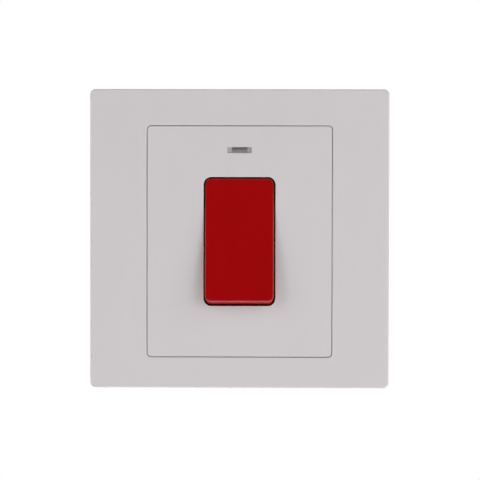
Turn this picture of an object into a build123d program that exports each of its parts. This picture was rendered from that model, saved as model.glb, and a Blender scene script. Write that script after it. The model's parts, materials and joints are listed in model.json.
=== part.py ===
from build123d import *
import os
from math import asin, cos, radians, sin, sqrt

# A double pole wall switch with a red rocker and an indicator lamp, in millimetres.
# X runs to the right, Y into the wall and Z up. The wall is the plane Y = 0, and the origin
# lies midway between the two wall fixings. The rocker stands in its off position.

# Cover frame
plate_size = 86.0
plate_corner_radius = 1.6
plate_edge_chamfer = 0.35
projection = 8.5  # from the wall to the front face
front_wall = 2.0
side_wall = 1.8
pocket_corner_cut = 0.8

# Centre panel, moulded in one with the flange behind the frame
panel_width = 53.05
panel_height = 66.35
panel_corner_radius = 1.1
panel_edge_chamfer = 0.12
panel_drop = 0.8  # below the plate's middle
panel_groove = 0.2  # between the panel and the frame
flange_thickness = 3.0
flange_clearance = 0.3
fixing_centres = 60.3
fixing_hole_diameter = 4.2

# Hooks that clip the frame to the flange, and the notch to pry it off
hook_thickness = 1.2
hook_width = 8.0
hook_pitch = 44.0  # from the lower hooks to the upper ones
hook_inset = 1.2  # from the edge of the frame's window
hook_clearance = 0.15
barb_depth = 0.6
barb_length = 1.2
pry_notch_width = 9.0
pry_notch_height = 1.4

# Rocker and its bearings
rocker_width = 19.8
rocker_length = 36.65  # where it passes the panel's rear face
rocker_corner_radius = 1.75
rocker_edge_rounding = 0.45
rocker_gap = 0.45  # beside it, in the panel's opening
rocker_end_gap = 0.25  # over and under it
rocker_wall = 1.6
rocker_half_throw = 6.0  # degrees each side of level
rocker_skirt = 2.0  # behind the pivot
pressed_end_sink = 0.6  # of the pressed end, behind the panel's face
pivot_depth = 4.0  # behind the panel's face
trunnion_diameter = 3.0
bearing_clearance = 0.05
bearing_mouth = 2.5  # narrower than the trunnion, which clips in
lug_thickness = 2.0
lug_wall = 2.0
lug_lip = 0.9

# Plungers and their springs
pole_pitch = 10.0
plunger_size = 3.8
plunger_clearance = 0.05
plunger_reach = 13.0  # from the pivot to the tip of the nose
plunger_length = 10.0
plunger_gap = 0.08  # to the contact arm, half way through the throw
socket_wall = 0.9
socket_reach = 7.5  # behind the pivot
spring_diameter = 3.7
spring_wire = 0.6
spring_turns = 3.5
spring_step_count = 28  # straight runs that draw the coil
spring_flat_count = 4  # round its wire
spring_clearance = 0.05
spigot_length = 1.5
spigot_clearance = 0.1

# Contact arms, which rock on a ridge of the supply terminal
arm_width = 6.0
arm_thickness = 1.2
arm_upper = 13.0
arm_lower = 9.0
arm_half_throw = 8.0  # degrees each side of level
ridge_radius = 0.6
ridge_clearance = 0.05
ridge_width = 5.0
contact_reach = 10.8
contact_size = 3.5
contact_thickness = 0.8
fixed_contact_thickness = 0.6  # where it is thinnest
contact_closed_gap = 0.1

# Terminals
terminal_pitch = 20.0
terminal_width = 9.5
terminal_length = 11.4
tunnel_diameter = 6.2
tunnel_wall = 1.4
thread_wall = 3.2
strap_thickness = 1.2
strap_lap = 3.5
terminal_screw_diameter = 5.0
terminal_screw_clearance = 0.03
terminal_screw_lift = 1.0  # out of the block, with the terminal open
screw_tip_setback = 0.2
screw_slot_width = 0.8
screw_slot_depth = 0.8

# Rear housing
housing_height = 46.0
housing_wall = 1.8
housing_chamfer = 1.0
housing_clearance = 0.2  # round the terminals
barrier_thickness = 2.0
barrier_front = 5.0
pedestal_height = 4.0
cable_entry_margin = 0.5
screw_access_margin = 0.4

# Screws that hold the housing to the front plate
housing_screw_reach = 4.2  # outside the housing
housing_screw_diameter = 2.4
housing_screw_length = 7.0
housing_screw_clearance = 0.3
pilot_clearance = 0.03
pilot_spare = 0.6
housing_head_diameter = 4.8
housing_head_height = 1.6
boss_wall = 1.5
ear_margin = 3.4  # round the middle of its screw
ear_thickness = 2.4

# Indicator lamp over the rocker
lamp_gap = 1.3  # between the lamp and the skirt under it
neon_window_width = 7.05
neon_window_height = 1.75
neon_aperture_width = 4.6
neon_ledge_depth = 1.0
lens_recess = 0.4
lens_clearance = 0.05
lamp_diameter = 4.0
lamp_length = 9.0
lamp_standoff = 0.9
pinch_width = 2.2
pinch_thickness = 1.0
pinch_length = 1.5
cradle_pitch = 6.6
cradle_thickness = 1.0
cradle_wall = 0.8
cradle_clearance = 0.1
lead_wire = 0.6
lead_bend = 1.0
lead_inset = 1.5  # from the outer end of the terminal
lead_notch = 1.4
resistor_diameter = 2.3
resistor_length = 6.5
resistor_start = 2.5  # behind the wall plane
lamp_cover_wall = 0.8
lamp_cover_clearance = 0.2
lead_flat_count = 6  # round its wire

# Front plate and frame
panel_z = -panel_drop
cavity_depth = projection - front_wall
pocket_size = plate_size - 2 * side_wall
flange_size = pocket_size - 2 * flange_clearance
window_width = panel_width + 2 * panel_groove
window_height = panel_height + 2 * panel_groove
hook_inner = window_width / 2 + hook_inset
hook_outer = hook_inner + hook_thickness
barb_front = -(barb_length + hook_clearance)
ledge_depth = barb_length + 2 * hook_clearance

# Rocker: its end walls lean in from the level of the panel's rear face, to clear the opening
rocker_y = pivot_depth - projection
rocker_bend = pivot_depth - front_wall
rocker_radius = sqrt((rocker_length / 2) ** 2 + rocker_bend**2)
pressed_angle = asin((pivot_depth - pressed_end_sink) / rocker_radius)
face_angle = pressed_angle + radians(rocker_half_throw)
rocker_rise = rocker_radius * sin(face_angle)
face_length = 2 * rocker_radius * cos(face_angle)
opening_width = rocker_width + 2 * rocker_gap
opening_height = rocker_length + 2 * rocker_end_gap
opening_corner_radius = rocker_corner_radius + rocker_gap

# Plungers
pole_x = pole_pitch / 2
plunger_shoulder = plunger_reach - plunger_length
nose_depth = plunger_reach - plunger_size / 2
socket_floor = rocker_rise - rocker_wall
socket_bore = plunger_size + 2 * plunger_clearance
spigot_size = sqrt(2) * (spring_diameter / 2 - spring_wire - spigot_clearance)

# Contacts: the fixed one slants to meet the moving one face to face when switched on
arm_y = rocker_y + plunger_reach + plunger_gap + arm_thickness
arm_sin = sin(radians(arm_half_throw))
arm_cos = cos(radians(arm_half_throw))
contact_inner = contact_reach - contact_size / 2
contact_outer = contact_reach + contact_size / 2
closed_face = contact_thickness + contact_closed_gap
fixed_inner = (
    contact_inner * arm_cos - closed_face * arm_sin,
    -contact_inner * arm_sin - closed_face * arm_cos,
)
fixed_outer = (
    contact_outer * arm_cos - closed_face * arm_sin,
    -contact_outer * arm_sin - closed_face * arm_cos,
)

# Terminals and housing
block_front = arm_y - fixed_outer[1] + fixed_contact_thickness
tunnel_y = block_front + tunnel_wall + tunnel_diameter / 2
block_rear = tunnel_y + tunnel_diameter / 2 + thread_wall
terminal_x = terminal_pitch / 2
terminal_outer = housing_height / 2 - housing_wall - housing_clearance
terminal_inner = terminal_outer - terminal_length
terminal_middle = (terminal_outer + terminal_inner) / 2
strap_front = block_front - strap_thickness
housing_inner_width = terminal_pitch + terminal_width + 2 * housing_clearance
housing_inner_height = housing_height - 2 * housing_wall
housing_width = housing_inner_width + 2 * housing_wall
housing_rear = block_rear + housing_clearance
housing_depth = housing_rear + housing_wall
housing_screw_pitch = housing_width + 2 * housing_screw_reach

# Indicator
skirt_top = panel_z + housing_height / 2
neon_z = skirt_top + lamp_gap + lamp_diameter / 2
lamp_y = -cavity_depth + lamp_standoff + lamp_diameter / 2
lamp_end = lamp_length / 2 + pinch_length
lens_height = neon_window_height - 2 * lens_clearance
lead_z = panel_z + terminal_outer - lead_inset
cradle_width = lamp_diameter + 2 * cradle_clearance
cradle_depth = lamp_standoff + lamp_diameter / 2
lamp_cover_top = neon_z + cradle_width / 2 + cradle_wall + lamp_cover_clearance
lamp_cover_width = 2 * (lamp_end + lamp_cover_clearance)
lamp_cover_depth = lamp_standoff + lamp_diameter + lamp_cover_clearance

# The line pole is on the left and the neutral pole on the right, seen from the front
poles = {"line": -1, "neutral": 1}


def facing(y, z=0.0):
    """A plane parallel to the wall: its x to the right, its y up and its z out of the wall."""
    return Plane(origin=(0, y, z), x_dir=(1, 0, 0), z_dir=(0, -1, 0))


def side_of(plane):
    """The same place seen from the right: its x up along the plane, its y out of the plane."""
    return Plane(origin=plane.origin, x_dir=plane.y_dir, z_dir=plane.x_dir)


pivot_plane = facing(rocker_y, panel_z)
rocker_plane = pivot_plane.rotated((-rocker_half_throw, 0, 0))
arm_plane = facing(arm_y, panel_z).rotated((arm_half_throw, 0, 0))


def write(piece, name):
    """Label a finished piece and write it to its own file."""
    piece.part.label = name
    export_step(piece.part, f"parts/{name}.step")


os.makedirs("parts", exist_ok=True)

# Cover frame: a shallow tray with a window, hooked over the flange
with BuildPart() as cover_frame:
    with BuildSketch(facing(0)):
        RectangleRounded(plate_size, plate_size, plate_corner_radius)
    extrude(amount=projection)
    chamfer(cover_frame.faces().sort_by(Axis.Y)[0].edges(), plate_edge_chamfer)
    with BuildSketch(facing(0)) as pocket:
        Rectangle(pocket_size, pocket_size)
        chamfer(pocket.vertices(), pocket_corner_cut)
    extrude(amount=cavity_depth, mode=Mode.SUBTRACT)
    with BuildSketch(facing(0, panel_z)):
        RectangleRounded(window_width, window_height, panel_corner_radius + panel_groove)
    extrude(amount=projection, mode=Mode.SUBTRACT)
    front_face = cover_frame.faces().sort_by(Axis.Y)[0]
    chamfer(front_face.inner_wires()[0].edges(), panel_edge_chamfer)
    for side in poles.values():
        for row in (-hook_pitch / 2, hook_pitch / 2):
            with BuildSketch(Plane.XY.offset(panel_z + row - hook_width / 2)):
                with BuildLine():
                    Polyline(
                        (side * hook_inner, -cavity_depth),
                        (side * hook_outer, -cavity_depth),
                        (side * hook_outer, barb_front),
                        (side * (hook_outer + barb_depth), barb_front),
                        (side * hook_outer, -hook_clearance),
                        (side * hook_inner, -hook_clearance),
                        close=True,
                    )
                make_face()
            extrude(amount=hook_width)
    with BuildSketch(facing(0, (side_wall - plate_size) / 2)):
        Rectangle(pry_notch_width, side_wall)
    extrude(amount=pry_notch_height, mode=Mode.SUBTRACT)
write(cover_frame, "cover_frame")

# Front plate: flange, raised hollow panel, and behind it what carries the switch
with BuildPart() as front_plate:
    with BuildSketch(facing(0)) as flange:
        Rectangle(flange_size, flange_size)
        chamfer(flange.vertices(), pocket_corner_cut)
    extrude(amount=flange_thickness)
    with BuildSketch(facing(0, panel_z)):
        RectangleRounded(panel_width, panel_height, panel_corner_radius)
    extrude(amount=projection)
    chamfer(front_plate.faces().sort_by(Axis.Y)[0].edges(), panel_edge_chamfer)
    with BuildSketch(facing(0, panel_z)):
        Rectangle(panel_width - 2 * side_wall, panel_height - 2 * side_wall)
    extrude(amount=cavity_depth, mode=Mode.SUBTRACT)

    # Skirt that the housing's rim seats on, with bosses for its screws
    pilot_radius = housing_screw_diameter / 2 + pilot_clearance
    with BuildSketch(facing(0, panel_z)) as skirt:
        Rectangle(housing_width, housing_height)
        chamfer(skirt.vertices(), housing_chamfer)
        Rectangle(housing_inner_width, housing_inner_height, mode=Mode.SUBTRACT)
        with GridLocations(housing_screw_pitch, 0, 2, 1):
            Rectangle(2 * (pilot_radius + boss_wall), 2 * (pilot_radius + boss_wall))
    extrude(amount=cavity_depth)
    with BuildSketch(facing(0, panel_z)):
        with GridLocations(housing_screw_pitch, 0, 2, 1):
            Circle(pilot_radius)
    extrude(amount=housing_screw_length - ear_thickness + pilot_spare, mode=Mode.SUBTRACT)

    # Clip-in bearings beside the rocker's opening
    lug_back = trunnion_diameter / 2 + lug_lip
    for side in poles.values():
        with BuildSketch(side_of(pivot_plane).offset(side * opening_width / 2)):
            with Locations((0, (rocker_bend - lug_back) / 2)):
                Rectangle(trunnion_diameter + 2 * lug_wall, rocker_bend + lug_back)
            Circle(trunnion_diameter / 2 + bearing_clearance, mode=Mode.SUBTRACT)
            with Locations((0, -lug_back / 2)):
                Rectangle(bearing_mouth, lug_back, mode=Mode.SUBTRACT)
        extrude(amount=side * lug_thickness)
    with BuildSketch(facing(-cavity_depth, panel_z)):
        RectangleRounded(opening_width, opening_height, opening_corner_radius)
    extrude(amount=front_wall, mode=Mode.SUBTRACT)

    # Indicator window, stepped for its lens, and the cradle of its lamp
    with BuildSketch(facing(-projection, neon_z)):
        Rectangle(neon_window_width, neon_window_height)
    extrude(amount=-neon_ledge_depth, mode=Mode.SUBTRACT)
    with BuildSketch(facing(-projection, neon_z)):
        Rectangle(neon_aperture_width, neon_window_height)
    extrude(amount=-front_wall, mode=Mode.SUBTRACT)
    for side in poles.values():
        with BuildSketch(side_of(facing(lamp_y, neon_z)).offset(side * cradle_pitch / 2)):
            with Locations((0, cradle_depth / 2)):
                Rectangle(cradle_width + 2 * cradle_wall, cradle_depth)
            with Locations((0, cradle_width / 4)):
                Rectangle(cradle_width, cradle_width / 2, mode=Mode.SUBTRACT)
        extrude(amount=cradle_thickness / 2, both=True)

    # Notches in the skirt for the lamp's leads
    with BuildSketch(facing(0, panel_z + (housing_height - housing_wall) / 2)):
        with GridLocations(terminal_pitch, 0, 2, 1):
            Rectangle(lead_notch, housing_wall)
    extrude(amount=lead_notch / 2 - lamp_y, mode=Mode.SUBTRACT)

    # Wall fixings, and the stepped slots that the frame's hooks catch in
    with BuildSketch(facing(0)):
        with GridLocations(fixing_centres, 0, 2, 1):
            Circle(fixing_hole_diameter / 2)
    extrude(amount=flange_thickness, mode=Mode.SUBTRACT)
    for catch, depth in ((0, flange_thickness), (barb_depth, ledge_depth)):
        slot_width = hook_thickness + catch + 2 * hook_clearance
        slot_middle = (hook_inner + hook_outer + catch) / 2
        with BuildSketch(facing(0, panel_z)):
            with GridLocations(2 * slot_middle, hook_pitch, 2, 2):
                Rectangle(slot_width, hook_width + 2 * hook_clearance)
        extrude(amount=depth, mode=Mode.SUBTRACT)
write(front_plate, "front_plate")

# Indicator: a stepped clear lens, the lamp lying behind it, its cover, resistor and leads
with BuildPart() as neon_lens:
    with BuildSketch(facing(lens_recess - projection, neon_z)):
        Rectangle(neon_window_width - 2 * lens_clearance, lens_height)
    extrude(amount=lens_recess + lens_clearance - neon_ledge_depth)
    with BuildSketch(facing(lens_recess - projection, neon_z)):
        Rectangle(neon_aperture_width - 2 * lens_clearance, lens_height)
    extrude(amount=lens_recess - front_wall)
write(neon_lens, "neon_lens")

with BuildPart() as neon_lamp:
    with BuildSketch(side_of(facing(lamp_y, neon_z))):
        Circle(lamp_diameter / 2)
    extrude(amount=lamp_length / 2, both=True)
    with BuildSketch(side_of(facing(lamp_y, neon_z))):
        Rectangle(pinch_width, pinch_thickness)
    extrude(amount=lamp_end, both=True)
write(neon_lamp, "neon_lamp")

# Lamp cover: an insulating hood over the lamp, between the panel and the skirt
with BuildPart() as lamp_cover:
    with BuildSketch(facing(-cavity_depth, (lamp_cover_top + lamp_cover_wall + skirt_top) / 2)):
        Rectangle(lamp_cover_width + 2 * lamp_cover_wall, lamp_cover_top + lamp_cover_wall - skirt_top)
    extrude(amount=-(lamp_cover_depth + lamp_cover_wall))
    with BuildSketch(facing(-cavity_depth, (lamp_cover_top + skirt_top) / 2)):
        Rectangle(lamp_cover_width, lamp_cover_top - skirt_top)
    extrude(amount=-lamp_cover_depth, mode=Mode.SUBTRACT)
    with BuildSketch(facing(-cavity_depth, neon_z)):
        Rectangle(lamp_cover_width + 2 * lamp_cover_wall, lead_notch)
    extrude(amount=-(lamp_standoff + (lamp_diameter + lead_notch) / 2), mode=Mode.SUBTRACT)
write(lamp_cover, "lamp_cover")

with BuildPart() as neon_resistor:
    with BuildSketch(facing(resistor_start, lead_z)):
        with Locations((poles["line"] * terminal_x, 0)):
            Circle(resistor_diameter / 2)
    extrude(amount=-resistor_length)
write(neon_resistor, "neon_resistor")

with BuildPart() as neon_leads:
    for pole, side in poles.items():
        lead_end = resistor_start if pole == "line" else block_front
        with BuildLine() as route:
            Polyline(
                (side * lamp_end, lamp_y, neon_z),
                (side * (terminal_x - lead_bend), lamp_y, neon_z),
                (side * terminal_x, lamp_y, neon_z - lead_bend),
                (side * terminal_x, lamp_y, lead_z + lead_bend),
                (side * terminal_x, lamp_y + lead_bend, lead_z),
                (side * terminal_x, lead_end, lead_z),
            )
        with BuildSketch(Plane(route.line @ 0, z_dir=route.line % 0)):
            RegularPolygon(lead_wire / 2, lead_flat_count)
        sweep(transition=Transition.RIGHT)
    with BuildSketch(facing(resistor_start + resistor_length, lead_z)):
        with Locations((poles["line"] * terminal_x, 0)):
            RegularPolygon(lead_wire / 2, lead_flat_count)
    extrude(amount=resistor_start + resistor_length - block_front)
write(neon_leads, "neon_leads")

# Rear housing: an open box with a barrier between the poles
terminal_points = [(x * terminal_x, z * terminal_middle) for x in (-1, 1) for z in (-1, 1)]
with BuildPart() as rear_housing:
    with BuildSketch(facing(0, panel_z)):
        Rectangle(housing_width, housing_height)
    extrude(amount=-housing_depth)
    chamfer(rear_housing.edges().filter_by(Axis.Y), housing_chamfer)
    chamfer(rear_housing.faces().sort_by(Axis.Y)[-1].edges(), housing_chamfer)

    # Ears for the housing screws, level with the rim
    with BuildSketch(facing(0, panel_z)) as ears:
        Rectangle(housing_screw_pitch + 2 * ear_margin, 2 * ear_margin)
        chamfer(ears.vertices(), housing_chamfer)
        with GridLocations(housing_screw_pitch, 0, 2, 1):
            Circle(housing_screw_diameter / 2 + housing_screw_clearance, mode=Mode.SUBTRACT)
    extrude(amount=-ear_thickness)
    with BuildSketch(facing(0, panel_z)):
        Rectangle(housing_inner_width, housing_inner_height)
    extrude(amount=-housing_rear, mode=Mode.SUBTRACT)

    # Barrier between the poles, and pedestals under the ridges
    with BuildSketch(facing(barrier_front, panel_z)):
        Rectangle(barrier_thickness, housing_inner_height)
    extrude(amount=barrier_front - housing_rear)
    with BuildSketch(facing(block_front, panel_z)):
        with GridLocations(pole_pitch, 0, 2, 1):
            Rectangle(ridge_width, pedestal_height)
    extrude(amount=block_front - housing_rear)

    # Cable entries at both ends, and holes for a screwdriver in the rear wall
    cable_entry = tunnel_diameter + 2 * cable_entry_margin
    for end in (-1, 1):
        with BuildSketch(Plane.XY.offset(panel_z + end * housing_height / 2)):
            with Locations((-terminal_x, tunnel_y), (terminal_x, tunnel_y)):
                Rectangle(cable_entry, cable_entry)
        extrude(amount=-end * housing_wall, mode=Mode.SUBTRACT)
    with BuildSketch(facing(housing_depth, panel_z)):
        with Locations(*terminal_points):
            Circle(terminal_screw_diameter / 2 + screw_access_margin)
    extrude(amount=housing_wall, mode=Mode.SUBTRACT)
write(rear_housing, "rear_housing")

with BuildPart() as housing_screws:
    with BuildSketch(facing(ear_thickness, panel_z)):
        with GridLocations(housing_screw_pitch, 0, 2, 1):
            Circle(housing_screw_diameter / 2)
    extrude(amount=housing_screw_length)
    with BuildSketch(facing(ear_thickness, panel_z)):
        with GridLocations(housing_screw_pitch, 0, 2, 1):
            Circle(housing_head_diameter / 2)
    extrude(amount=-housing_head_height)
    with BuildSketch(facing(ear_thickness + housing_head_height, panel_z)):
        with GridLocations(housing_screw_pitch, 0, 2, 1):
            Rectangle(housing_head_diameter, screw_slot_width)
    extrude(amount=screw_slot_depth, mode=Mode.SUBTRACT)
write(housing_screws, "housing_screws")

# Terminal screws, headless and backed out so that the tunnels are free
screw_tip = tunnel_y + tunnel_diameter / 2 + screw_tip_setback
screw_end = block_rear + terminal_screw_lift
with BuildPart() as terminal_screws:
    with BuildSketch(facing(screw_end, panel_z)):
        with Locations(*terminal_points):
            Circle(terminal_screw_diameter / 2)
    extrude(amount=screw_end - screw_tip)
    with BuildSketch(facing(screw_end, panel_z)):
        with Locations(*terminal_points):
            Rectangle(terminal_screw_diameter, screw_slot_width)
    extrude(amount=screw_slot_depth, mode=Mode.SUBTRACT)
write(terminal_screws, "terminal_screws")


def terminal_block(side, end):
    """A brass block at one end of the housing, with its cable tunnel and its screw hole."""
    with BuildPart() as block:
        with BuildSketch(facing(block_front, panel_z)):
            with Locations((side * terminal_x, end * terminal_middle)):
                Rectangle(terminal_width, terminal_length)
        extrude(amount=block_front - block_rear)
        with BuildSketch(Plane.XY.offset(panel_z + end * terminal_outer)):
            with Locations((side * terminal_x, tunnel_y)):
                Circle(tunnel_diameter / 2)
        extrude(amount=-end * terminal_length, mode=Mode.SUBTRACT)
        with BuildSketch(facing(block_rear, panel_z)):
            with Locations((side * terminal_x, end * terminal_middle)):
                Circle(terminal_screw_diameter / 2 + terminal_screw_clearance)
        extrude(amount=block_rear - tunnel_y, mode=Mode.SUBTRACT)
    return block.part


for pole, side in poles.items():
    pole_inner = pole_x - arm_width / 2
    block_outer = terminal_x + terminal_width / 2
    seat_side = side_of(facing(arm_y, panel_z)).offset(side * pole_x)
    arm_side = side_of(arm_plane).offset(side * pole_x)
    rocker_side = side_of(rocker_plane).offset(side * pole_x)

    # Supply terminal: a strap runs from the lower block to the ridge that the arm rocks on
    block = terminal_block(side, -1)
    with BuildPart() as supply_terminal:
        add(block)
        with BuildSketch(facing(block_front, panel_z)):
            with Locations((side * (pole_inner + block_outer) / 2, -terminal_middle)):
                Rectangle(block_outer - pole_inner, terminal_length)
            with Locations((side * pole_x, (pedestal_height / 2 - terminal_outer) / 2)):
                Rectangle(arm_width, terminal_outer + pedestal_height / 2)
        extrude(amount=strap_thickness)
        with BuildSketch(seat_side):
            Circle(ridge_radius)
            with Locations((0, (arm_y - strap_front) / 2)):
                Rectangle(2 * ridge_radius, strap_front - arm_y)
        extrude(amount=ridge_width / 2, both=True)
    write(supply_terminal, f"{pole}_supply_terminal")

    # Load terminal: a strap on the upper block reaches under the arm's contact
    block = terminal_block(side, 1)
    strap_top = max(terminal_inner + strap_lap, fixed_outer[0])
    with BuildPart() as load_terminal:
        add(block)
        with BuildSketch(facing(block_front, panel_z)):
            with Locations((side * pole_x, (strap_top + fixed_inner[0]) / 2)):
                Rectangle(arm_width, strap_top - fixed_inner[0])
        extrude(amount=-strap_thickness)
    write(load_terminal, f"{pole}_load_terminal")

    # Fixed contact: a slanted pad on the load strap
    with BuildPart() as fixed_contact:
        with BuildSketch(seat_side):
            with BuildLine():
                Polyline(
                    fixed_inner,
                    fixed_outer,
                    (fixed_outer[0], arm_y - block_front),
                    (fixed_inner[0], arm_y - block_front),
                    close=True,
                )
            make_face()
        extrude(amount=contact_size / 2, both=True)
    write(fixed_contact, f"{pole}_fixed_contact")

    # Contact arm: a flat strip with a groove over the ridge
    with BuildPart() as contact_arm:
        with BuildSketch(arm_side):
            with Locations(((arm_upper - arm_lower) / 2, arm_thickness / 2)):
                Rectangle(arm_upper + arm_lower, arm_thickness)
            Circle(ridge_radius + ridge_clearance, mode=Mode.SUBTRACT)
        extrude(amount=arm_width / 2, both=True)
    write(contact_arm, f"{pole}_contact_arm")

    # Moving contact: a flat pad behind the arm
    with BuildPart() as moving_contact:
        with BuildSketch(arm_plane):
            with Locations((side * pole_x, contact_reach)):
                Rectangle(contact_size, contact_size)
        extrude(amount=-contact_thickness)
    write(moving_contact, f"{pole}_moving_contact")

    # Plunger: a square pin with a round nose, and a spigot that centres the spring
    with BuildPart() as plunger:
        with BuildSketch(rocker_side):
            with Locations((0, -(plunger_shoulder + nose_depth) / 2)):
                Rectangle(plunger_size, nose_depth - plunger_shoulder)
            with Locations((0, -nose_depth)):
                Circle(plunger_size / 2)
        extrude(amount=plunger_size / 2, both=True)
        with BuildSketch(rocker_plane.offset(-plunger_shoulder)):
            with Locations((side * pole_x, 0)):
                Rectangle(spigot_size, spigot_size)
        extrude(amount=spigot_length)
    write(plunger, f"{pole}_plunger")

    # Spring: a coil between the socket's floor and the plunger's shoulder
    coil_start = socket_floor - spring_clearance - spring_wire / 2
    coil_height = coil_start + plunger_shoulder - spring_clearance - spring_wire / 2
    coil_top = rocker_plane.from_local_coords((side * pole_x, 0, coil_start))
    with BuildLine() as coil:
        Helix(
            pitch=coil_height / spring_turns,
            height=coil_height,
            radius=(spring_diameter - spring_wire) / 2,
            center=coil_top,
            direction=-rocker_plane.z_dir,
        )
    with BuildPart() as spring:
        for step in range(spring_step_count + 1):
            point = coil.line @ (step / spring_step_count)
            tangent = coil.line % (step / spring_step_count)
            with BuildSketch(Plane(point, x_dir=rocker_plane.z_dir, z_dir=tangent)):
                RegularPolygon(spring_wire / 2, spring_flat_count)
        loft(ruled=True)
    write(spring, f"{pole}_spring")

# Rocker: a hollow paddle with leaning ends, trunnions and plunger sockets
with BuildPart() as rocker:
    with BuildSketch(side_of(rocker_plane)):
        with BuildLine():
            Polyline(
                (-rocker_length / 2, rocker_bend),
                (-face_length / 2, rocker_rise),
                (face_length / 2, rocker_rise),
                (rocker_length / 2, rocker_bend),
                close=True,
            )
        make_face()
    extrude(amount=rocker_width / 2, both=True)
    upwards = Axis(rocker_plane.origin, rocker_plane.y_dir)
    outwards = Axis(rocker_plane.origin, rocker_plane.z_dir)
    corners = rocker.edges().filter_by(Axis.X, reverse=True).filter_by(upwards, reverse=True)
    fillet(corners, rocker_corner_radius)
    fillet(rocker.faces().sort_by(outwards)[-1].edges(), rocker_edge_rounding)
    extrude(rocker.faces().sort_by(outwards)[0], amount=rocker_skirt + rocker_bend)
    with BuildSketch(rocker_plane.offset(-rocker_skirt)):
        Rectangle(rocker_width - 2 * rocker_wall, face_length - 2 * rocker_wall)
    extrude(amount=rocker_skirt + socket_floor, mode=Mode.SUBTRACT)
    with BuildSketch(rocker_plane.offset(-socket_reach)):
        with GridLocations(pole_pitch, 0, 2, 1):
            Rectangle(socket_bore + 2 * socket_wall, socket_bore + 2 * socket_wall)
            Rectangle(socket_bore, socket_bore, mode=Mode.SUBTRACT)
    extrude(amount=socket_reach + socket_floor)
    for side in poles.values():
        wall_inside = side * (rocker_width / 2 - rocker_wall)
        with BuildSketch(side_of(rocker_plane).offset(wall_inside)):
            Circle(trunnion_diameter / 2)
        extrude(amount=side * (rocker_wall + rocker_gap + lug_thickness))
write(rocker, "rocker")
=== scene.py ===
import json
from math import cos, pi, radians, sin, tan, tau

import bmesh
import bpy
from mathutils import Matrix, Vector

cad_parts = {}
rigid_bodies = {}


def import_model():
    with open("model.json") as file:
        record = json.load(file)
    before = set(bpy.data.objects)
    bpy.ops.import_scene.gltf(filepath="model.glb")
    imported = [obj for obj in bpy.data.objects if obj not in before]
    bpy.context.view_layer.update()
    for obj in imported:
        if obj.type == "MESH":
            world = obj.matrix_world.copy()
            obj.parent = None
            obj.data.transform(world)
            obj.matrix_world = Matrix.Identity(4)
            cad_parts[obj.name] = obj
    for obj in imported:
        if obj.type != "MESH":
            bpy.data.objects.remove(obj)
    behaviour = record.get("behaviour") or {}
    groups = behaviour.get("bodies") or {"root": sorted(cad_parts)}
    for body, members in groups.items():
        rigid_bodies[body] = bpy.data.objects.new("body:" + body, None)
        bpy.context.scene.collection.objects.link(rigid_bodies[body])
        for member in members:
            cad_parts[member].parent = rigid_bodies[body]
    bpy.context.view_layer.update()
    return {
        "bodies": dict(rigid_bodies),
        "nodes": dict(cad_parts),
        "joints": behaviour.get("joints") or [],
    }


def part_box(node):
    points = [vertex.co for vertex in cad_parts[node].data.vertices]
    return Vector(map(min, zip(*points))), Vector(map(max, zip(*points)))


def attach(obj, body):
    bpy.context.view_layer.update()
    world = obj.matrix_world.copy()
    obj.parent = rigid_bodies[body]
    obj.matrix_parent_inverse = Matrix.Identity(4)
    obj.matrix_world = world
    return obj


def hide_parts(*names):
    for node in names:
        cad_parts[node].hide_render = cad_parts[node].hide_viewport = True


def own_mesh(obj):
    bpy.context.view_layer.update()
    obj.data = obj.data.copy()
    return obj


# The looks of a double pole wall switch with a red rocker, in metres.
# X runs to the right, Y into the wall and Z up, as in the model that carries them.

MM = 0.001

# Camera, set back from the middle of the plate's face
camera_target = Vector((0.15, -8.5, -0.34)) * MM
camera_distance = 0.70
camera_azimuth = radians(1.10)
camera_elevation = radians(1.91)
camera_roll = radians(-0.10)
camera_lens = 182.49
camera_sensor = 36.0
camera_clip = (0.05, 50.0)

# Softboxes: azimuth and elevation seen from the plate, in degrees, then distance, width, height
# and light: how bright it alone makes a pure white plate, on the side it stands at
softboxes = {
    "right_softbox": (62, 14, 0.90, 0.60, 1.10, 0.45),
    "left_softbox": (-65, 14, 0.90, 0.40, 1.10, 0.28),
    "top_softbox": (0, 48, 0.90, 0.80, 0.50, 0.075),
    "low_softbox": (0, -62, 0.90, 1.40, 0.70, 0.53),
    "rear_left_softbox": (-140, 32, 0.90, 0.70, 0.70, 0.46),
    "rear_right_softbox": (140, 32, 0.90, 0.70, 0.70, 0.46),
}

# Room and floor
fill_light = 0.02  # from all around, in the same measure
dark_front = 0.02  # what gloss sees of the room behind the camera
dark_reach = (-0.75, -0.10)  # where that turns to white, from straight in front, -1, to the side, 0
floor_height = -1.30
floor_size = 8.0
floor_colour = (0.95, 0.95, 0.95, 1)
floor_roughness = 0.9
floor_white = 0.88  # what the eye sees of the floor besides the light on it
floor_fade = (0.5, 2.5)  # between these distances from its middle it turns as white as the room
floor_in_gloss = 0.35  # how much of that shows in gloss and through glass

# Patterns of the finishes: the size of their marks, and how much these change
noise_reach = (0.3, 0.7)  # noise seldom leaves this range
flow_size = 9 * MM  # flow marks in moulded plastic
flow_stretch = (1, 1, 2.5)
plastic_gloss = 0.15  # how far the roughness goes up and down, as a share of it
metal_gloss = 0.30
clear_gloss = 0.30
tarnish_size = 3.5 * MM
# Painted shade on bare metal: its colour is darkened in crevices, where shade falls
painted_shade_reach = 0.6 * MM  # metal that faces a surface within this distance gets painted shade, a darker colour
painted_shade_open = (0.2, 0.9)  # the openness at which the painted shade is darkest, and from which on there is none
painted_shade_dark = 0.35
cloud_size = 0.8 * MM  # clouds in glass and clear plastic
cloud_dark = 0.97
lacquer_size = 0.5 * MM
lacquer_dark = 0.9
lacquer_roughness = (0.25, 0.4)
lacquer_relief = 0.01 * MM
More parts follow.
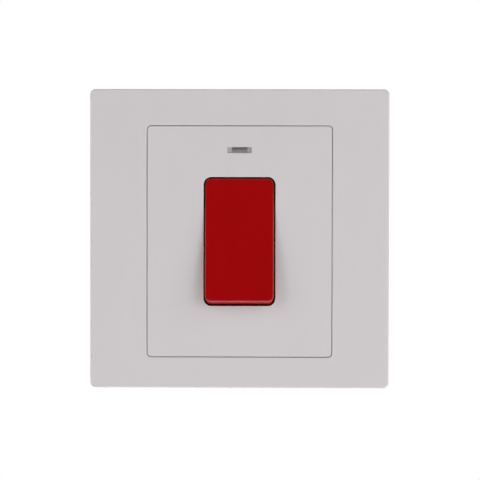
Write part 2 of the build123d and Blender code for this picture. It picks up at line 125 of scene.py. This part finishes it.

# The indicator's window: how much it hides of the lamp behind it, from 0 to 1; its change with height
# is painted light
window_painted_light = (0.36, 0.05)  # at its lower edge, which this makes paler as painted light from below, and its upper one
window_rim_highlight = (0.15 * MM, 0.30)  # the height of its rounded upper rim, and the painted highlight that adds there
window_frost = (2.3 * MM, 0.36)  # beyond this distance from its middle its ends are frosted
frost_edge = 0.1 * MM  # the frost sets in over this distance each way

# Meshes
round_sides = 32
wire_sides = 12
arc_steps = 8  # in a quarter turn
smooth_angle = radians(35)  # an edge that turns by more is sharp

# Springs
spring_wire = 0.6 * MM
spring_diameter = 3.7 * MM
spring_height = 5.97 * MM  # from wire middle to wire middle
spring_turns = 3.5
spring_turn_steps = 28

# Lamp, with its electrodes and leads
glass_wall = 0.3 * MM
glass_half = 4.5 * MM  # from its middle to the end of its shoulder
neck_radius = 0.55 * MM
neck_taper = 0.9
rod_radius = 0.32 * MM
rod_offset = 0.75 * MM
rod_reach = 3.2 * MM  # from the lamp's middle to the rod's bend
rod_far_share = 0.8  # of that reach, past the middle
rod_gap = 0.1 * MM  # from the rod's outer end to the glass
rod_bend = 0.5 * MM
lead_wire = 0.6 * MM
lead_bend = 1.2 * MM

# Resistor: its form in shares of its radius or length, and the place and colour of its rings
bone_steps = 28
bone_end = 0.35  # the radius at its very end
bone_rounding = 0.55  # the length of its round end, in radii
bone_thick = 0.24  # the length of its thick end
bone_taper = 0.08  # the length over which it thins
bone_waist = 0.14  # how much thinner its middle is
ring_width = 0.07
resistor_rings = (
    (0.20, (0.30, 0.12, 0.04)),
    (0.36, (0.02, 0.02, 0.02)),
    (0.52, (0.55, 0.42, 0.02)),
    (0.80, (0.50, 0.33, 0.10)),
)

# Screws
slot_length = 6.0 * MM  # longer than any head is wide
slot_depth = 0.8 * MM
slot_width = 0.8 * MM
thread_rows = 8  # in each pitch
thread_flank = 1.4  # above 1 it leaves the crest flat
pan_radius = 2.4 * MM
pan_height = 1.6 * MM
pan_dome = 0.75 * MM  # the height of its rounded part
pan_flat = 1.35 * MM  # the radius of its flat top
pan_centre = 0.02 * MM  # the radius of the point in the middle of that
pan_under = 0.01 * MM  # how far its underside slopes
pan_thread = {"crest": 1.2 * MM, "root": 0.92 * MM, "pitch": 0.95 * MM, "tip": 0.35 * MM}
pan_turns = (24, 68)  # the degrees at which the slots came to a stop
grub_radius = 2.5 * MM
grub_end = [(0.0, 2.05 * MM), (0.3 * MM, 2.3 * MM)]  # its chamfer, as distances and radii
grub_thread = {"crest": grub_radius, "root": 2.15 * MM, "pitch": 0.8 * MM, "tip": 1.7 * MM}
grub_turns = (-38, 15, 52, -8)

# The line pole is on the left and the neutral pole on the right
poles = {"line": -1, "neutral": 1}
along_x = Vector((1, 0, 0))
along_y = Vector((0, 1, 0))

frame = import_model()
nodes = frame["nodes"]

# Places that the model gives
lens_low, lens_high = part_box("neon_lens")
lamp_low, lamp_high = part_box("neon_lamp")
lamp_middle = (lamp_low + lamp_high) / 2
lamp_radius = (lamp_high.z - lamp_low.z) / 2
lamp_half = (lamp_high.x - lamp_low.x) / 2
resistor_low, resistor_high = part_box("neon_resistor")


def clear_start_objects():
    """Take away the cube, lamp and camera of a new Blender file."""
    kept = set(nodes.values()) | set(frame["bodies"].values())
    for thing in list(bpy.context.scene.objects):
        if thing not in kept:
            bpy.data.objects.remove(thing)


clear_start_objects()


# Shader helpers


def new_material(name):
    """An empty material with its node tree and its Principled shader."""
    material = bpy.data.materials.new(name)
    material.use_nodes = True
    tree = material.node_tree
    return material, tree, tree.nodes["Principled BSDF"]


def add(tree, kind, **values):
    """A node of that kind; values are its properties, or its inputs by their lower-case names."""
    node = tree.nodes.new("ShaderNode" + kind)
    sockets = {s.name.lower().replace(" ", "_"): s for s in reversed(node.inputs)}
    for key, value in values.items():
        if key in sockets:
            sockets[key].default_value = value
        else:
            setattr(node, key, value)
    return node


def combine(tree, operation, first, second):
    """Two values joined by a sum, a product or the like; each is a socket or a number."""
    node = add(tree, "Math", operation=operation)
    for source, socket in zip((first, second), node.inputs):
        if isinstance(source, float):
            socket.default_value = source
        else:
            tree.links.new(source, socket)
    return node.outputs["Value"]


def map_range(tree, source, start, end, low=0.0, high=1.0):
    """A value from start to end, mapped to the range from low to high."""
    node = add(tree, "MapRange", from_min=start, from_max=end, to_min=low, to_max=high)
    tree.links.new(source, node.inputs["Value"])
    return node.outputs["Result"]


def object_place(tree):
    """The X, Y and Z of a point of the object, in metres."""
    split = add(tree, "SeparateXYZ")
    tree.links.new(add(tree, "TexCoord").outputs["Object"], split.inputs["Vector"])
    return split.outputs


def object_noise(tree, size, stretch=(1, 1, 1), detail=3.0, rough=0.55):
    """Noise fixed to the object, with features about that size in metres."""
    place = add(tree, "TexCoord")
    mapping = add(tree, "Mapping", scale=[1 / (size * s) for s in stretch])
    noise = add(tree, "TexNoise", scale=1.0, detail=detail, roughness=rough)
    tree.links.new(place.outputs["Object"], mapping.inputs["Vector"])
    tree.links.new(mapping.outputs["Vector"], noise.inputs["Vector"])
    return noise.outputs["Fac"]


def spread(tree, noise, low=0.0, high=1.0):
    """Noise, which stays near its middle, mapped to the range from low to high."""
    return map_range(tree, noise, *noise_reach, low, high)


def colour_sockets(sockets):
    """Those of a node's sockets that hold a colour."""
    return [s for s in sockets if s.type == "RGBA"]


def blend_colours(tree, factor, first, second):
    """A colour between two, by a factor from 0 to 1."""
    mix = add(tree, "Mix", data_type="RGBA")
    for socket, colour in zip(colour_sockets(mix.inputs), (first, second)):
        socket.default_value = (*colour, 1)
    tree.links.new(factor, mix.inputs["Factor"])
    return colour_sockets(mix.outputs)[0]


def multiply_colours(tree, first, second):
    """A colour dimmed by another, or by a value."""
    mix = add(tree, "Mix", data_type="RGBA", blend_type="MULTIPLY", factor=1.0)
    for socket, source in zip(colour_sockets(mix.inputs), (first, second)):
        tree.links.new(source, socket)
    return colour_sockets(mix.outputs)[0]


def shade(colour, factor):
    """A colour made lighter or darker."""
    return tuple(c * factor for c in colour)


def vary_gloss(tree, shader, pattern, roughness, share):
    """Roughness that follows a pattern, up and down by that share."""
    gloss = spread(tree, pattern, roughness * (1 - share), roughness * (1 + share))
    tree.links.new(gloss, shader.inputs["Roughness"])


def emboss(tree, shader, height, depth):
    """Fine relief of that depth in metres."""
    bump = add(tree, "Bump", strength=1.0, distance=depth)
    tree.links.new(height, bump.inputs["Height"])
    tree.links.new(bump.outputs["Normal"], shader.inputs["Normal"])


# Kinds of material


def plastic(name, colour, roughness, mottle=0.015, grain=0.35 * MM, relief=0.004 * MM, level=0.5):
    """Moulded plastic: faint flow marks in the colour, and a fine skin in gloss and relief."""
    material, tree, shader = new_material(name)
    flow = spread(tree, object_noise(tree, flow_size, stretch=flow_stretch, detail=2.0))
    tone = blend_colours(tree, flow, shade(colour, 1 - mottle), shade(colour, 1 + mottle))
    tree.links.new(tone, shader.inputs["Base Color"])
    shader.inputs["Specular IOR Level"].default_value = level
    skin = object_noise(tree, grain, detail=4.0)
    vary_gloss(tree, shader, skin, roughness, plastic_gloss)
    emboss(tree, shader, skin, relief)
    return material


def metal(name, colour, tarnish, roughness, brush=(1, 1, 12), lines=0.12 * MM, relief=0.004 * MM):
    """Bare metal: tool lines along one axis, patches of tarnish, and painted shade that darkens its
    crevices.
    """
    material, tree, shader = new_material(name)
    shader.inputs["Metallic"].default_value = 1.0
    patches = spread(tree, object_noise(tree, tarnish_size, detail=5.0, rough=0.65))
    tone = blend_colours(tree, patches, colour, tarnish)
    # Painted shade: ambient occlusion darkens the colour in crevices, slots and thread roots
    opening = add(tree, "AmbientOcclusion", distance=painted_shade_reach, samples=8)
    dark = map_range(tree, opening.outputs["AO"], *painted_shade_open, low=painted_shade_dark)
    tree.links.new(multiply_colours(tree, tone, dark), shader.inputs["Base Color"])
    tooling = object_noise(tree, lines, stretch=brush)
    vary_gloss(tree, shader, tooling, roughness, metal_gloss)
    emboss(tree, shader, tooling, relief)
    return material


def clear(name, colour, roughness, ior, cover):
    """Glass or clear plastic, a little cloudy; cover is how much it hides of what is behind it."""
    material, tree, shader = new_material(name)
    shader.inputs["Alpha"].default_value = cover
    shader.inputs["IOR"].default_value = ior
    cloud = object_noise(tree, cloud_size)
    tone = blend_colours(tree, spread(tree, cloud), shade(colour, cloud_dark), colour)
    tree.links.new(tone, shader.inputs["Base Color"])
    vary_gloss(tree, shader, cloud, roughness, clear_gloss)
    return material


def paint_window_light_and_frost(material, low, high):
    """Make the window of the indicator hide more towards its lower edge, as painted light from below,
    add a painted highlight along its upper rim, and frost its two ends.
    """
    tree = material.node_tree
    place = object_place(tree)
    lower, upper = window_painted_light
    # Painted light: the window hides more of the dark lamp low down, so its lower part shows paler
    painted_light = map_range(tree, place["Z"], low.z, high.z, lower, upper)
    rim_height, rim_highlight_cover = window_rim_highlight
    # Painted highlight: a thin paler band along the rounded upper rim
    rim = map_range(tree, place["Z"], high.z - rim_height, high.z, high=rim_highlight_cover)
    reach = add(tree, "Math", operation="ABSOLUTE")
    tree.links.new(place["X"], reach.inputs["Value"])
    start, frosted = window_frost
    cover = map_range(
        tree, reach.outputs["Value"], start - frost_edge, start + frost_edge, high=frosted
    )
    tree.links.new(combine(tree, "ADD", painted_light, rim), cover.node.inputs["To Min"])
    tree.links.new(cover, tree.nodes["Principled BSDF"].inputs["Alpha"])


def banded(name, body, rings, start, end):
    """Lacquer with colour rings: these are (place from 0 to 1 along Y, colour) pairs."""
    material, tree, shader = new_material(name)
    ramp = add(tree, "ValToRGB")
    tree.links.new(map_range(tree, object_place(tree)["Y"], start, end), ramp.inputs["Fac"])
    stops = ramp.color_ramp.elements
    ramp.color_ramp.interpolation = "CONSTANT"
    stops[0].color = (*body, 1)
    stops.remove(stops[1])
    for middle, colour in rings:
        stops.new(middle - ring_width / 2).color = (*colour, 1)
        stops.new(middle + ring_width / 2).color = (*body, 1)
    lacquer = object_noise(tree, lacquer_size)
    white_tone = (1, 1, 1)
    tint = blend_colours(tree, spread(tree, lacquer), shade(white_tone, lacquer_dark), white_tone)
    tone = multiply_colours(tree, ramp.outputs["Color"], tint)
    tree.links.new(tone, shader.inputs["Base Color"])
    tree.links.new(spread(tree, lacquer, *lacquer_roughness), shader.inputs["Roughness"])
    emboss(tree, shader, lacquer, lacquer_relief)
    return material


# Materials, and the solids that show them
white = plastic("white_plastic", colour=(0.590, 0.563, 0.572), roughness=0.34, mottle=0.008)
red = plastic(
    "red_plastic", colour=(0.328, 0.0018, 0.0026), roughness=0.14, mottle=0.03, level=0.65
)
housing = plastic(
    "housing_plastic", colour=(0.56, 0.55, 0.53), roughness=0.5, grain=0.25 * MM, relief=0.012 * MM
)
nylon = plastic(
    "plunger_nylon", colour=(0.70, 0.67, 0.60), roughness=0.42, mottle=0.03, relief=0.008 * MM
)
brass = metal("brass", colour=(0.80, 0.56, 0.24), tarnish=(0.55, 0.35, 0.13), roughness=0.30)
silver = metal(
    "contact_silver", colour=(0.86, 0.85, 0.82), tarnish=(0.62, 0.60, 0.56), roughness=0.28,
    brush=(6, 1, 1),
)
steel = metal(
    "zinc_steel", colour=(0.66, 0.67, 0.68), tarnish=(0.50, 0.50, 0.48), roughness=0.32,
    brush=(1, 1, 1),
)
glass = clear("lamp_glass", colour=(0.50, 0.49, 0.48), roughness=0.03, ior=1.50, cover=0.15)
lens = clear(
    "clear_plastic", colour=(0.80, 0.79, 0.79), roughness=0.10, ior=1.49, cover=window_painted_light[0]
)
paint_window_light_and_frost(lens, lens_low, lens_high)
coat = banded(
    "resistor_coat", body=(0.48, 0.33, 0.18), rings=resistor_rings,
    start=resistor_low.y, end=resistor_high.y,
)

finishes = {
    white: ["cover_frame", "front_plate"],
    red: ["rocker"],
    lens: ["neon_lens"],
    housing: ["rear_housing", "lamp_cover"],
    nylon: [f"{pole}_plunger" for pole in poles],
    brass: [
        f"{pole}_{part}" for pole in poles
        for part in ("supply_terminal", "load_terminal", "contact_arm")
    ],
    silver: [f"{pole}_{part}" for pole in poles for part in ("fixed_contact", "moving_contact")],
}
for material, names in finishes.items():
    for name in names:
        nodes[name].data.materials.clear()
        nodes[name].data.materials.append(material)


# Mesh helpers


def finish_piece(name, mesh, material, slot, body, *replaced):
    """Turn a mesh into a piece of the object, in place of the CAD nodes that are named."""
    mesh.normal_update()
    data = bpy.data.meshes.new(name)
    mesh.to_mesh(data)
    mesh.free()
    data.materials.append(material)
    data.shade_smooth()
    data.set_sharp_from_angle(angle=smooth_angle)
    piece = bpy.data.objects.new(name, data)
    bpy.context.scene.collection.objects.link(piece)
    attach(piece, body)
    if replaced:
        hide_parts(*replaced)
    return piece


def add_ring(mesh, centre, across, beside, radii):
    """Vertices round a centre, evenly spaced, each at its own radius."""
    ring = []
    for k, radius in enumerate(radii):
        turn = tau * k / len(radii)
        outward = across * cos(turn) + beside * sin(turn)
        ring.append(mesh.verts.new(centre + outward * radius))
    return ring


def bridge_rings(mesh, rings):
    """Skin a row of equal rings of vertices, and cap its ends."""
    for lower, upper in zip(rings, rings[1:]):
        count = len(lower)
        for i in range(count):
            j = (i + 1) % count
            mesh.faces.new((lower[i], lower[j], upper[j], upper[i]))
    mesh.faces.new(list(reversed(rings[0])))
    mesh.faces.new(rings[-1])


def add_tube(mesh, points, radius):
    """A round wire along a row of points."""
    rings = []
    across = (points[1] - points[0]).orthogonal().normalized()
    for i, point in enumerate(points):
        tangent = points[min(i + 1, len(points) - 1)] - points[max(i - 1, 0)]
        tangent.normalize()
        across = (across - tangent * across.dot(tangent)).normalized()
        rings.append(add_ring(mesh, point, across, tangent.cross(across), [radius] * wire_sides))
    bridge_rings(mesh, rings)


def rounded_route(corners, radius, steps=6):
    """The points of a bent wire: straight runs with an arc at each corner."""
    points = [corners[0]]
    for before, corner, after in zip(corners, corners[1:], corners[2:]):
        back = (before - corner).normalized()
        ahead = (after - corner).normalized()
        half = back.angle(ahead) / 2
        middle = corner + (back + ahead).normalized() * (radius / sin(half))
        start = corner + back * (radius / tan(half)) - middle
        end = corner + ahead * (radius / tan(half)) - middle
        for k in range(steps + 1):
            points.append(middle + start.slerp(end, k / steps).normalized() * radius)
    points.append(corners[-1])
    return points


def add_turned(mesh, origin, axis, profile):
    """A turned form: the profile is (distance along the axis, radius) pairs."""
    across = axis.orthogonal().normalized()
    beside = axis.cross(across)
    rings = []
    for along, radius in profile:
        centre = origin + axis * along
        rings.append(add_ring(mesh, centre, across, beside, [radius] * round_sides))
    bridge_rings(mesh, rings)


def add_screw(mesh, origin, axis, head, length, crest, root, pitch, tip):
    """A turned screw: a head profile, then a cut thread that runs out in a chamfered tip."""
    across = axis.orthogonal().normalized()
    beside = axis.cross(across)
    rings = []
    for along, radius in head:
        centre = origin + axis * along
        rings.append(add_ring(mesh, centre, across, beside, [radius] * round_sides))
    thread_start = centre
    row_count = round(length / pitch * thread_rows)
    for row in range(row_count + 1):
        along = length * row / row_count
        radii = []
        for k in range(round_sides):
            phase = (along / pitch - k / round_sides) % 1.0
            ridge = 1 - abs(2 * phase - 1)
            radius = root + (crest - root) * min(1.0, thread_flank * ridge)
            radii.append(min(radius, tip + length - along))
        rings.append(add_ring(mesh, thread_start + axis * along, across, beside, radii))
    bridge_rings(mesh, rings)


def cut_slots(piece, centres, turns):
    """Mill a screwdriver's slot into a piece at each centre, at that turn about Y."""
    mesh = bmesh.new()
    cut_size = Matrix.Diagonal((slot_length, 2 * slot_depth, slot_width, 1))
    for centre, turn in zip(centres, turns):
        place = Matrix.Translation(centre) @ Matrix.Rotation(radians(turn), 4, "Y")
        bmesh.ops.create_cube(mesh, size=1.0, matrix=place @ cut_size)
    data = bpy.data.meshes.new("slots")
    mesh.to_mesh(data)
    mesh.free()
    cutter = bpy.data.objects.new("slots", data)
    bpy.context.scene.collection.objects.link(cutter)
    cut = piece.modifiers.new("slots", "BOOLEAN")
    cut.operation = "DIFFERENCE"
    cut.solver = "MANIFOLD"
    cut.object = cutter
    bpy.context.view_layer.update()
    graph = bpy.context.evaluated_depsgraph_get()
    milled = bpy.data.meshes.new_from_object(piece.evaluated_get(graph))
    piece.modifiers.clear()
    piece.data = milled
    bpy.data.objects.remove(cutter)


# Pieces


def make_spring(pole):
    """A coil of round wire along its plunger's slide, in place of the spring node."""
    slide = next(j for j in frame["joints"] if j["name"] == f"{pole}_plunger_slide")
    outwards = Vector(slide["axis"]).normalized()
    low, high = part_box(f"{pole}_spring")
    middle = (low + high) / 2
    beside = outwards.cross(along_x)
    coil_radius = (spring_diameter - spring_wire) / 2
    step_count = round(spring_turns * spring_turn_steps)
    coil = []
    for step in range(step_count + 1):
        share = step / step_count
        turn = tau * spring_turns * share
        rise = outwards * spring_height * (0.5 - share)
        coil.append(middle + rise + (along_x * cos(turn) + beside * sin(turn)) * coil_radius)
    mesh = bmesh.new()
    add_tube(mesh, coil, spring_wire / 2)
    spring = finish_piece(f"{pole}_coil", mesh, steel, "zinc_steel", "rocker", f"{pole}_spring")
    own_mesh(spring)


def glass_profile(radius, half):
    """The profile of a glass tube with rounded shoulders, down to its necks."""
    bend = radius - neck_radius
    left = []
    for k in range(arc_steps + 1):
        turn = radians(90) * k / arc_steps
        left.append((-half + bend * (1 - cos(turn)), neck_radius + bend * sin(turn)))
    right = [(-along, size) for along, size in reversed(left)]
    return left + right


def make_lamp_glass():
    """A hollow glass with a neck at each end."""
    neck_end = neck_radius * neck_taper
    outside = glass_profile(lamp_radius, glass_half)
    outside = [(-lamp_half, neck_end)] + outside + [(lamp_half, neck_end)]
    inside = glass_profile(lamp_radius - glass_wall, glass_half - glass_wall)
    mesh = bmesh.new()
    add_turned(mesh, lamp_middle, along_x, outside)
    inside_start = len(mesh.faces)
    add_turned(mesh, lamp_middle, along_x, inside)
    mesh.faces.ensure_lookup_table()
    bmesh.ops.reverse_faces(mesh, faces=mesh.faces[inside_start:])
    finish_piece("lamp_glass", mesh, glass, "lamp_glass", "base", "neon_lamp")


def make_lamp_electrodes():
    """Two rods side by side in the glass, each held at one end."""
    mesh = bmesh.new()
    for side in poles.values():
        lift = Vector((0, 0, rod_offset * side))
        tail = lamp_middle + along_x * side * (glass_half - glass_wall - rod_gap)
        corner = lamp_middle + along_x * side * rod_reach + lift
        far = lamp_middle - along_x * side * rod_reach * rod_far_share + lift
        add_tube(mesh, rounded_route([tail, corner, far], rod_bend), rod_radius)
    finish_piece("lamp_electrodes", mesh, steel, "zinc_steel", "base")


def make_resistor():
    """A dipped body, thicker at its two ends."""
    radius = (resistor_high.x - resistor_low.x) / 2
    length = resistor_high.y - resistor_low.y
    start = (resistor_low + resistor_high) / 2 - along_y * length / 2
    bone = []
    for k in range(bone_steps + 1):
        share = k / bone_steps
        from_end = min(share, 1 - share)
        cap = min(1.0, from_end * length / (bone_rounding * radius))
        round_end = bone_end + (1 - bone_end) * (1 - (1 - cap) ** 2) ** 0.5
        thinning = min(1.0, max(0.0, (from_end - bone_thick) / bone_taper))
        bone.append((share * length, radius * round_end * (1 - bone_waist * thinning)))
    mesh = bmesh.new()
    add_turned(mesh, start, along_y, bone)
    finish_piece("resistor_body", mesh, coat, "resistor_coat", "base", "neon_resistor")


def make_leads():
    """Bare wire from the lamp to the two load terminals, through the resistor on one side."""
    low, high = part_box("neon_leads")
    lead_x = high.x - lead_wire / 2
    lead_z = low.z + lead_wire / 2
    mesh = bmesh.new()
    for pole, side in poles.items():
        lead_end = resistor_low.y if pole == "line" else high.y
        corners = [
            Vector((side * lamp_half, lamp_middle.y, lamp_middle.z)),
            Vector((side * lead_x, lamp_middle.y, lamp_middle.z)),
            Vector((side * lead_x, lamp_middle.y, lead_z)),
            Vector((side * lead_x, lead_end, lead_z)),
        ]
        add_tube(mesh, rounded_route(corners, lead_bend), lead_wire / 2)
    tail = [Vector((poles["line"] * lead_x, y, lead_z)) for y in (resistor_high.y, high.y)]
    add_tube(mesh, tail, lead_wire / 2)
    finish_piece("lamp_leads", mesh, steel, "zinc_steel", "base", "neon_leads")


def make_housing_screws():
    """Slotted pan heads on self-cutting threads."""
    low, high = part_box("housing_screws")
    pan = [(0.0, pan_centre)]
    for k in range(arc_steps + 1):
        turn = radians(90) * (1 - k / arc_steps)
        pan.append((pan_dome * (1 - sin(turn)), pan_flat + (pan_radius - pan_flat) * cos(turn)))
    pan += [(pan_height, pan_radius), (pan_height + pan_under, pan_thread["crest"])]
    shank = high.y - low.y - pan_height
    mesh = bmesh.new()
    centres = []
    for side in poles.values():
        top = Vector((side * (high.x - pan_radius), high.y, (low.z + high.z) / 2))
        centres.append(top)
        add_screw(mesh, top, -along_y, pan, shank, **pan_thread)
    screws = finish_piece("housing_pan_screws", mesh, steel, "zinc_steel", "base", "housing_screws")
    cut_slots(screws, centres, pan_turns)


def make_terminal_screws():
    """Headless screws, with a slot at the rear."""
    low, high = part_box("terminal_screws")
    length = high.y - low.y - grub_end[-1][0]
    mesh = bmesh.new()
    centres = []
    for x in (low.x + grub_radius, high.x - grub_radius):
        for z in (low.z + grub_radius, high.z - grub_radius):
            top = Vector((x, high.y, z))
            centres.append(top)
            add_screw(mesh, top, -along_y, grub_end, length, **grub_thread)
    screws = finish_piece("terminal_grub_screws", mesh, brass, "brass", "base", "terminal_screws")
    cut_slots(screws, centres, grub_turns)


for pole in poles:
    make_spring(pole)
make_lamp_glass()
make_lamp_electrodes()
make_resistor()
make_leads()
make_housing_screws()
make_terminal_screws()


# Stage


def seen_directly(tree):
    """1 for what the eye sees straight, in gloss or through glass, and 0 for what lights a surface."""
    path = add(tree, "LightPath").outputs
    straight_or_gloss = combine(tree, "MAXIMUM", path["Is Camera Ray"], path["Is Glossy Ray"])
    return combine(tree, "MAXIMUM", straight_or_gloss, path["Is Transmission Ray"])


def make_floor():
    """A pale floor far below. It glows for the eye, and less in gloss, so that only shadows show."""
    material, tree, shader = new_material("floor")
    shader.inputs["Base Color"].default_value = floor_colour
    shader.inputs["Roughness"].default_value = floor_roughness
    shader.inputs["Specular IOR Level"].default_value = 0.0
    reach = add(tree, "VectorMath", operation="LENGTH")
    tree.links.new(add(tree, "TexCoord").outputs["Object"], reach.inputs["Vector"])
    fade = map_range(tree, reach.outputs["Value"], *floor_fade, low=floor_white)
    faint = combine(tree, "MULTIPLY", seen_directly(tree), floor_in_gloss)
    level = combine(tree, "MAXIMUM", faint, add(tree, "LightPath").outputs["Is Camera Ray"])
    glow = add(tree, "Emission", color=(1, 1, 1, 1))
    tree.links.new(combine(tree, "MULTIPLY", level, fade), glow.inputs["Strength"])
    total = add(tree, "AddShader")
    tree.links.new(shader.outputs["BSDF"], total.inputs[0])
    tree.links.new(glow.outputs["Emission"], total.inputs[1])
    tree.links.new(total.outputs["Shader"], tree.nodes["Material Output"].inputs["Surface"])
    mesh = bmesh.new()
    bmesh.ops.create_grid(mesh, x_segments=1, y_segments=1, size=floor_size / 2)
    data = bpy.data.meshes.new("floor")
    mesh.to_mesh(data)
    mesh.free()
    data.materials.append(material)
    floor = bpy.data.objects.new("floor", data)
    floor.location.z = floor_height
    bpy.context.scene.collection.objects.link(floor)


def make_world():
    """A white room: an even fill for surfaces, white for the eye, dark to gloss in front."""
    world = bpy.data.worlds.new("studio")
    world.use_nodes = True
    bpy.context.scene.world = world
    tree = world.node_tree
    fill = tree.nodes["Background"]
    fill.inputs["Color"].default_value = (1, 1, 1, 1)
    fill.inputs["Strength"].default_value = fill_light
    split = add(tree, "SeparateXYZ")
    tree.links.new(add(tree, "TexCoord").outputs["Generated"], split.inputs["Vector"])
    behind = map_range(tree, split.outputs["Y"], *dark_reach, low=dark_front)
    level = combine(tree, "MAXIMUM", behind, add(tree, "LightPath").outputs["Is Camera Ray"])
    white_room = add(tree, "Background", color=(1, 1, 1, 1))
    tree.links.new(level, white_room.inputs["Strength"])
    mix = add(tree, "MixShader")
    tree.links.new(seen_directly(tree), mix.inputs[0])
    tree.links.new(fill.outputs["Background"], mix.inputs[1])
    tree.links.new(white_room.outputs["Background"], mix.inputs[2])
    tree.links.new(mix.outputs["Shader"], tree.nodes["World Output"].inputs["Surface"])


def toward(azimuth, elevation):
    """The direction from the plate to a place round it; azimuth 0 is straight in front."""
    level = cos(elevation)
    return Vector((sin(azimuth) * level, -cos(azimuth) * level, sin(elevation)))


def make_softbox(name, azimuth, elevation, distance, width, height, light):
    """An area lamp that makes a pure white plate that bright."""
    away = toward(radians(azimuth), radians(elevation))
    data = bpy.data.lights.new(name, "AREA")
    data.shape = "RECTANGLE"
    data.size = width
    data.size_y = height
    facing = abs(away.y)
    data.energy = light * pi**2 * distance**2 / facing
    lamp = bpy.data.objects.new(name, data)
    lamp.location = camera_target + away * distance
    lamp.rotation_mode = "QUATERNION"
    lamp.rotation_quaternion = away.to_track_quat("Z", "Y")
    lamp.visible_camera = False
    lamp.visible_glossy = False
    bpy.context.scene.collection.objects.link(lamp)


def make_camera():
    """The camera, at the photo's viewing angle."""
    back = toward(camera_azimuth, camera_elevation)
    right = (-back).cross(Vector((0, 0, 1))).normalized()
    up = right.cross(-back)
    rolled_right = right * cos(camera_roll) - up * sin(camera_roll)
    rolled_up = right * sin(camera_roll) + up * cos(camera_roll)
    data = bpy.data.cameras.new("camera")
    data.lens = camera_lens
    data.sensor_width = camera_sensor
    data.clip_start, data.clip_end = camera_clip
    camera = bpy.data.objects.new("camera", data)
    turn = Matrix((rolled_right, rolled_up, back)).transposed().to_4x4()
    camera.matrix_world = Matrix.Translation(camera_target + back * camera_distance) @ turn
    bpy.context.scene.collection.objects.link(camera)
    bpy.context.scene.camera = camera


make_floor()
make_world()
for name, place in softboxes.items():
    make_softbox(name, *place)
make_camera()
bpy.context.scene.view_settings.view_transform = "Standard"
